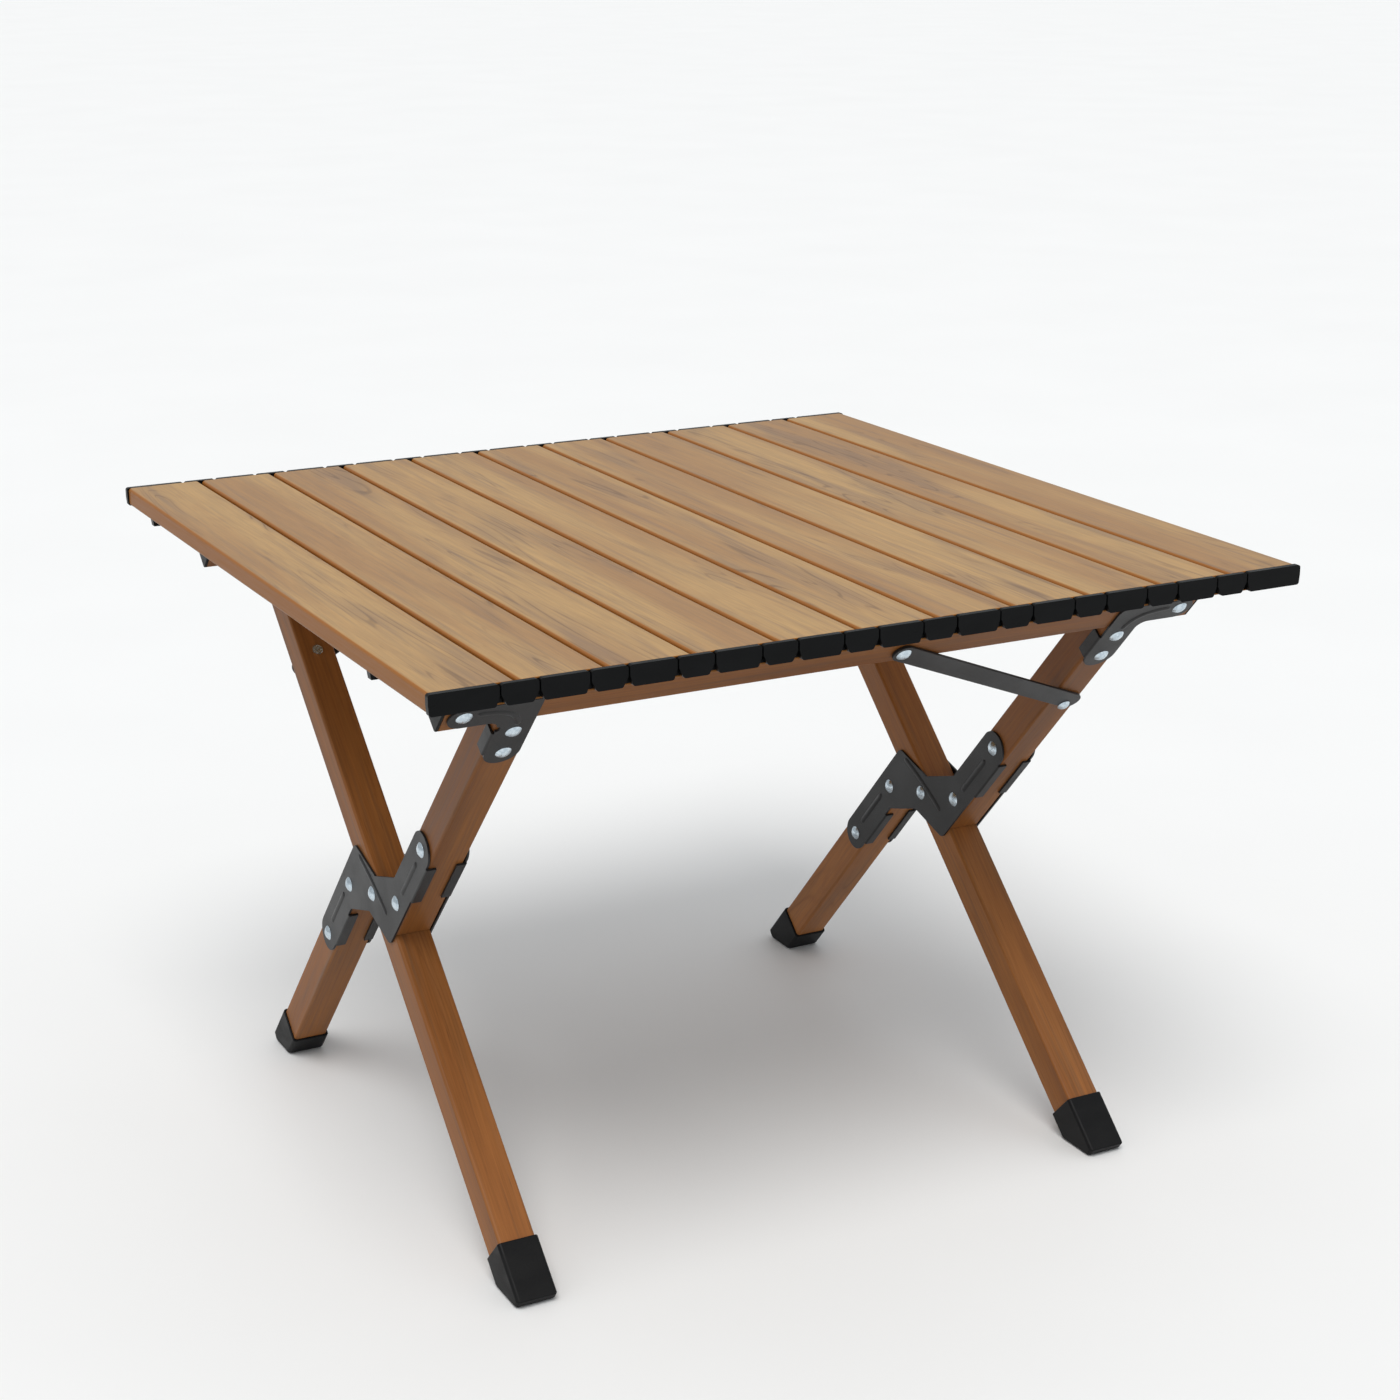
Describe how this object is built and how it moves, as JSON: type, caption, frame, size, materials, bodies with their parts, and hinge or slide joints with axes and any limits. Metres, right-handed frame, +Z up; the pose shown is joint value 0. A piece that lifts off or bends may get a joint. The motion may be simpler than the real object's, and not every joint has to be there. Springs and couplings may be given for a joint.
{
  "type": "folding picnic table",
  "caption": "Low folding table: roll-up slatted top with end caps and links, on two rails carried by two scissor leg pairs with braces.",
  "frame": {"origin": "on the floor under the middle of the top", "axes": "+Z up, +X along the rails, across the slats; +Y along the slats, towards the rear rail"},
  "size_m": [0.605, 0.577, 0.428],
  "materials": {
    "slat_finish": "satin wood-grain film",
    "frame_finish": "satin wood-grain film",
    "end_plastic": "fine texture",
    "foot_plastic": "fine texture",
    "plate_steel": "satin powder coat",
    "rivet_zinc": "bright zinc"
  },
  "bodies": {
    "front_frame": {"front_rail": "frame_finish", "front_rail_caps": "end_plastic", "upper_leg_left": "frame_finish", "upper_leg_right": "frame_finish", "lower_leg_left": "frame_finish", "lower_leg_right": "frame_finish", "cross_plate_left_outer": "plate_steel", "cross_plate_left_inner": "plate_steel", "cross_plate_right_outer": "plate_steel", "cross_plate_right_inner": "plate_steel", "rear_feet": "foot_plastic", "bracket_front_left": "plate_steel", "bracket_front_right": "plate_steel", "front_frame_rivets": "rivet_zinc", "pivot_rivets": "rivet_zinc"},
    "rear_frame": {"rear_rail": "frame_finish", "rear_rail_caps": "end_plastic", "long_leg_left": "frame_finish", "long_leg_right": "frame_finish", "front_feet": "foot_plastic", "bracket_rear_left": "plate_steel", "bracket_rear_right": "plate_steel", "rear_frame_rivets": "rivet_zinc"},
    "slat_unit_01": {"slat_01": "slat_finish", "slat_caps_01": "end_plastic", "rail_clips_left": "end_plastic"},
    "slat_unit_02": {"slat_02": "slat_finish", "slat_caps_02": "end_plastic"},
    "slat_unit_03": {"slat_03": "slat_finish", "slat_caps_03": "end_plastic"},
    "slat_unit_04": {"slat_04": "slat_finish", "slat_caps_04": "end_plastic"},
    "slat_unit_05": {"slat_05": "slat_finish", "slat_caps_05": "end_plastic"},
    "slat_unit_06": {"slat_06": "slat_finish", "slat_caps_06": "end_plastic"},
    "slat_unit_07": {"slat_07": "slat_finish", "slat_caps_07": "end_plastic"},
    "slat_unit_08": {"slat_08": "slat_finish", "slat_caps_08": "end_plastic"},
    "slat_unit_09": {"slat_09": "slat_finish", "slat_caps_09": "end_plastic"},
    "slat_unit_10": {"slat_10": "slat_finish", "slat_caps_10": "end_plastic"},
    "slat_unit_11": {"slat_11": "slat_finish", "slat_caps_11": "end_plastic", "rail_clips_right": "end_plastic"},
    "link_unit_01": {"links_01": "end_plastic"},
    "link_unit_02": {"links_02": "end_plastic"},
    "link_unit_03": {"links_03": "end_plastic"},
    "link_unit_04": {"links_04": "end_plastic"},
    "link_unit_05": {"links_05": "end_plastic"},
    "link_unit_06": {"links_06": "end_plastic"},
    "link_unit_07": {"links_07": "end_plastic"},
    "link_unit_08": {"links_08": "end_plastic"},
    "link_unit_09": {"links_09": "end_plastic"},
    "link_unit_10": {"links_10": "end_plastic"},
    "front_brace_arm": {"front_brace": "plate_steel"},
    "rear_brace_arm": {"rear_brace": "plate_steel"}
  },
  "joints": [
    {"name": "top_lift", "type": "slide", "parent": "front_frame", "child": "slat_unit_01", "axis": [0, 0, 1], "range_m": [0, 0.45]},
    {"name": "frame_fold", "type": "hinge", "parent": "front_frame", "child": "rear_frame", "pos_m": [0, 0, 0.199], "axis": [1, 0, 0], "range_deg": [0, 88.61]},
    {"name": "top_roll", "type": "hinge", "parent": "slat_unit_01", "child": "link_unit_01", "pos_m": [-0.2555, 0, 0.424], "axis": [0, -1, 0], "range_deg": [0, 13.5]},
    {"name": "roll_01b", "type": "hinge", "parent": "link_unit_01", "child": "slat_unit_02", "pos_m": [-0.2395, 0, 0.424], "axis": [0, -1, 0], "range_deg": [0, 13.51]},
    {"name": "roll_02a", "type": "hinge", "parent": "slat_unit_02", "child": "link_unit_02", "pos_m": [-0.2005, 0, 0.424], "axis": [0, -1, 0], "range_deg": [0, 16]},
    {"name": "roll_02b", "type": "hinge", "parent": "link_unit_02", "child": "slat_unit_03", "pos_m": [-0.1845, 0, 0.424], "axis": [0, -1, 0], "range_deg": [0, 16]},
    {"name": "roll_03a", "type": "hinge", "parent": "slat_unit_03", "child": "link_unit_03", "pos_m": [-0.1455, 0, 0.424], "axis": [0, -1, 0], "range_deg": [0, 18.5]},
    {"name": "roll_03b", "type": "hinge", "parent": "link_unit_03", "child": "slat_unit_04", "pos_m": [-0.1295, 0, 0.424], "axis": [0, -1, 0], "range_deg": [0, 18.5]},
    {"name": "roll_04a", "type": "hinge", "parent": "slat_unit_04", "child": "link_unit_04", "pos_m": [-0.0905, 0, 0.424], "axis": [0, -1, 0], "range_deg": [0, 21]},
    {"name": "roll_04b", "type": "hinge", "parent": "link_unit_04", "child": "slat_unit_05", "pos_m": [-0.0745, 0, 0.424], "axis": [0, -1, 0], "range_deg": [0, 21]},
    {"name": "roll_05a", "type": "hinge", "parent": "slat_unit_05", "child": "link_unit_05", "pos_m": [-0.0355, 0, 0.424], "axis": [0, -1, 0], "range_deg": [0, 23.5]},
    {"name": "roll_05b", "type": "hinge", "parent": "link_unit_05", "child": "slat_unit_06", "pos_m": [-0.0195, 0, 0.424], "axis": [0, -1, 0], "range_deg": [0, 23.5]},
    {"name": "roll_06a", "type": "hinge", "parent": "slat_unit_06", "child": "link_unit_06", "pos_m": [0.0195, 0, 0.424], "axis": [0, -1, 0], "range_deg": [0, 26]},
    {"name": "roll_06b", "type": "hinge", "parent": "link_unit_06", "child": "slat_unit_07", "pos_m": [0.0355, 0, 0.424], "axis": [0, -1, 0], "range_deg": [0, 26]},
    {"name": "roll_07a", "type": "hinge", "parent": "slat_unit_07", "child": "link_unit_07", "pos_m": [0.0745, 0, 0.424], "axis": [0, -1, 0], "range_deg": [0, 28.5]},
    {"name": "roll_07b", "type": "hinge", "parent": "link_unit_07", "child": "slat_unit_08", "pos_m": [0.0905, 0, 0.424], "axis": [0, -1, 0], "range_deg": [0, 28.5]},
    {"name": "roll_08a", "type": "hinge", "parent": "slat_unit_08", "child": "link_unit_08", "pos_m": [0.1295, 0, 0.424], "axis": [0, -1, 0], "range_deg": [0, 31]},
    {"name": "roll_08b", "type": "hinge", "parent": "link_unit_08", "child": "slat_unit_09", "pos_m": [0.1455, 0, 0.424], "axis": [0, -1, 0], "range_deg": [0, 31]},
    {"name": "roll_09a", "type": "hinge", "parent": "slat_unit_09", "child": "link_unit_09", "pos_m": [0.1845, 0, 0.424], "axis": [0, -1, 0], "range_deg": [0, 33.51]},
    {"name": "roll_09b", "type": "hinge", "parent": "link_unit_09", "child": "slat_unit_10", "pos_m": [0.2005, 0, 0.424], "axis": [0, -1, 0], "range_deg": [0, 33.51]},
    {"name": "roll_10a", "type": "hinge", "parent": "slat_unit_10", "child": "link_unit_10", "pos_m": [0.2395, 0, 0.424], "axis": [0, -1, 0], "range_deg": [0, 36.01]},
    {"name": "roll_10b", "type": "hinge", "parent": "link_unit_10", "child": "slat_unit_11", "pos_m": [0.2555, 0, 0.424], "axis": [0, -1, 0], "range_deg": [0, 36.01]},
    {"name": "front_brace_unhook", "type": "hinge", "parent": "front_frame", "child": "front_brace_arm", "pos_m": [0.0427, -0.22267, 0.38824], "axis": [0, -0.7446, -0.6675], "range_deg": [0, 8]},
    {"name": "rear_brace_unhook", "type": "hinge", "parent": "rear_frame", "child": "rear_brace_arm", "pos_m": [-0.0427, 0.22175, 0.38753], "axis": [0, 0.6798, -0.7334], "range_deg": [0, 8]}
  ],
  "couplings": [
    {"joint": "frame_fold", "follows": "top_lift", "rad_per_m": 3.4364},
    {"joint": "roll_01b", "follows": "top_roll", "ratio": 1},
    {"joint": "roll_02a", "follows": "top_roll", "ratio": 1.1852},
    {"joint": "roll_02b", "follows": "top_roll", "ratio": 1.1852},
    {"joint": "roll_03a", "follows": "top_roll", "ratio": 1.3704},
    {"joint": "roll_03b", "follows": "top_roll", "ratio": 1.3704},
    {"joint": "roll_04a", "follows": "top_roll", "ratio": 1.5556},
    {"joint": "roll_04b", "follows": "top_roll", "ratio": 1.5556},
    {"joint": "roll_05a", "follows": "top_roll", "ratio": 1.7407},
    {"joint": "roll_05b", "follows": "top_roll", "ratio": 1.7407},
    {"joint": "roll_06a", "follows": "top_roll", "ratio": 1.9259},
    {"joint": "roll_06b", "follows": "top_roll", "ratio": 1.9259},
    {"joint": "roll_07a", "follows": "top_roll", "ratio": 2.1111},
    {"joint": "roll_07b", "follows": "top_roll", "ratio": 2.1111},
    {"joint": "roll_08a", "follows": "top_roll", "ratio": 2.2963},
    {"joint": "roll_08b", "follows": "top_roll", "ratio": 2.2963},
    {"joint": "roll_09a", "follows": "top_roll", "ratio": 2.4815},
    {"joint": "roll_09b", "follows": "top_roll", "ratio": 2.4815},
    {"joint": "roll_10a", "follows": "top_roll", "ratio": 2.6667},
    {"joint": "roll_10b", "follows": "top_roll", "ratio": 2.6667}
  ]
}
